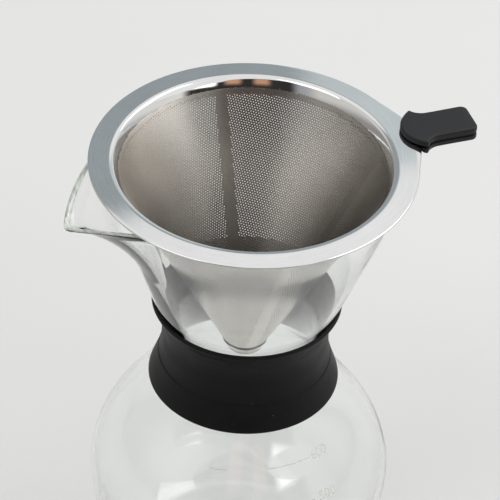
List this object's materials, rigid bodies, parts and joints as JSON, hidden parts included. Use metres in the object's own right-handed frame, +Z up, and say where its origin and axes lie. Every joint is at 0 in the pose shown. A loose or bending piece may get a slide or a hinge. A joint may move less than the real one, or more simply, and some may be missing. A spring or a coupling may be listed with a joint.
{
  "type": "pour over dripper",
  "caption": "Glass coffee carafe with a pouring spout, a silicone neck sleeve and a lift-out perforated steel cone filter with a grip.",
  "frame": {"origin": "centre of the carafe's flat base, on the plane that it stands on", "axes": "+Z up along the carafe's axis; the carafe's spout points along -X"},
  "size_m": [0.1575, 0.12, 0.1925],
  "materials": {
    "clear_glass": "polished",
    "sleeve_silicone": "matte",
    "flange_steel": "satin",
    "perforated_steel": "satin, finely perforated",
    "tip_steel": "satin",
    "grip_silicone": "matte"
  },
  "bodies": {
    "carafe": {"carafe": "clear_glass", "neck_sleeve": "sleeve_silicone"},
    "filter": {"filter_rim": "flange_steel", "filter_cone": "perforated_steel", "filter_tip": "tip_steel", "grip": "grip_silicone"}
  },
  "joints": [
    {"name": "filter_lift", "type": "slide", "parent": "carafe", "child": "filter", "axis": [0, 0, 1], "range_m": [0, 0.11]}
  ]
}
